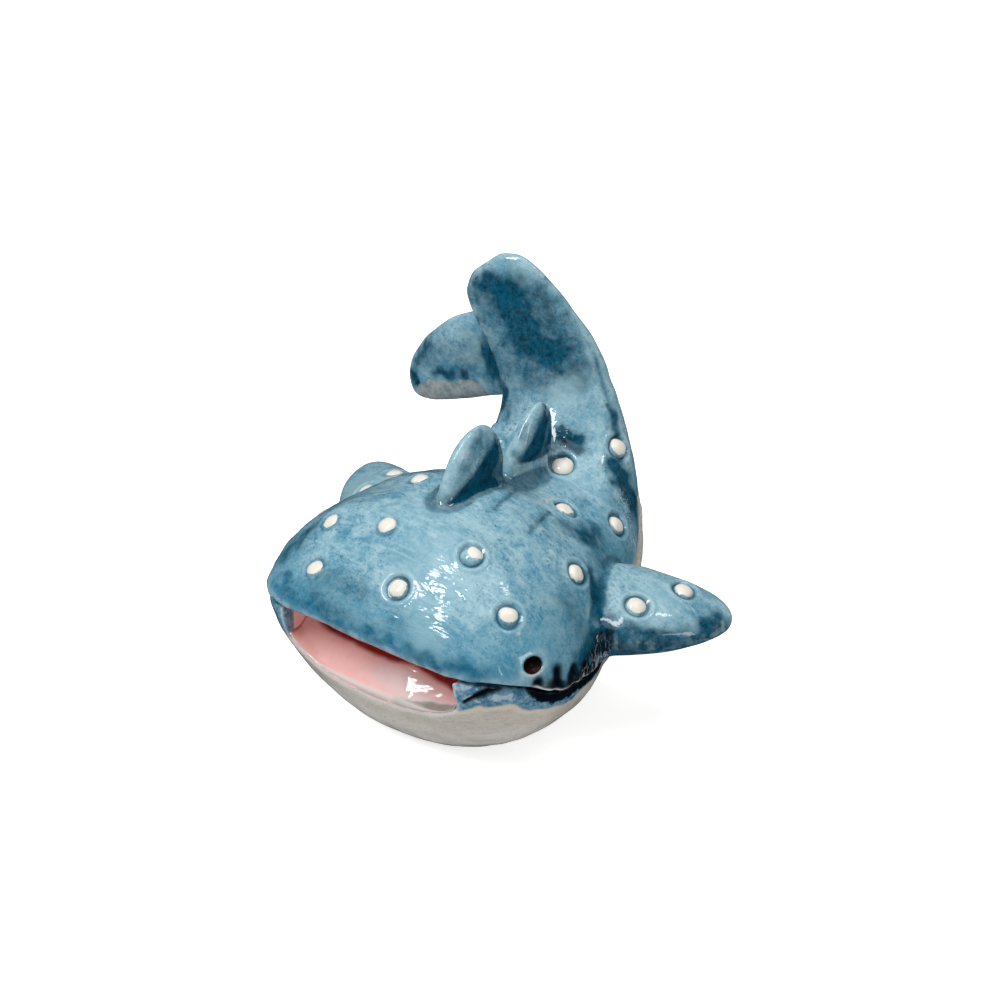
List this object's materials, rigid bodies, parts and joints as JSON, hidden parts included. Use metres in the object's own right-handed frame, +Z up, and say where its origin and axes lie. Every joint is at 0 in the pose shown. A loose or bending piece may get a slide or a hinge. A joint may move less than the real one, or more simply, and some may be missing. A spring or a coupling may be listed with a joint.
{
  "type": "whale shark figurine",
  "caption": "Small lacquered resin whale shark ornament with a curled-up tail, spread side fins, an open mouth and raised cream spots, resting on a flat under its belly.",
  "frame": {"origin": "centre of the flat under the belly that the ornament rests on", "axes": "+Z up, -Y towards the nose, +X towards the shark's own left side"},
  "size_m": [0.045, 0.0393, 0.0364],
  "materials": {
    "painted_back": "cast resin with a mottled steel-blue wash under clear gloss lacquer",
    "painted_belly": "cast resin painted warm pale grey under clear gloss lacquer",
    "painted_mouth": "cast resin painted salmon pink under clear gloss lacquer",
    "painted_spot": "cast resin bead painted cream white under clear gloss lacquer",
    "painted_eye": "cast resin plug painted black under clear gloss lacquer"
  },
  "bodies": {
    "root": {"back_casting": "painted_back", "belly_casting": "painted_belly", "mouth_lining": "painted_mouth", "tail_fin": "painted_back", "dorsal_fin_front": "painted_back", "dorsal_fin_rear": "painted_back", "pectoral_fin_left": "painted_back", "pectoral_fin_right": "painted_back", "fin_spot_left_1": "painted_spot", "fin_spot_left_2": "painted_spot", "eye_left": "painted_eye", "fin_spot_right_1": "painted_spot", "fin_spot_right_2": "painted_spot", "eye_right": "painted_eye", "back_spot_01": "painted_spot", "back_spot_02": "painted_spot", "back_spot_03": "painted_spot", "back_spot_04": "painted_spot", "back_spot_05": "painted_spot", "back_spot_06": "painted_spot", "back_spot_07": "painted_spot", "back_spot_08": "painted_spot", "back_spot_09": "painted_spot", "back_spot_10": "painted_spot", "back_spot_11": "painted_spot", "back_spot_12": "painted_spot", "back_spot_13": "painted_spot", "back_spot_14": "painted_spot", "back_spot_15": "painted_spot", "back_spot_16": "painted_spot", "back_spot_17": "painted_spot", "back_spot_18": "painted_spot"}
  },
  "joints": []
}
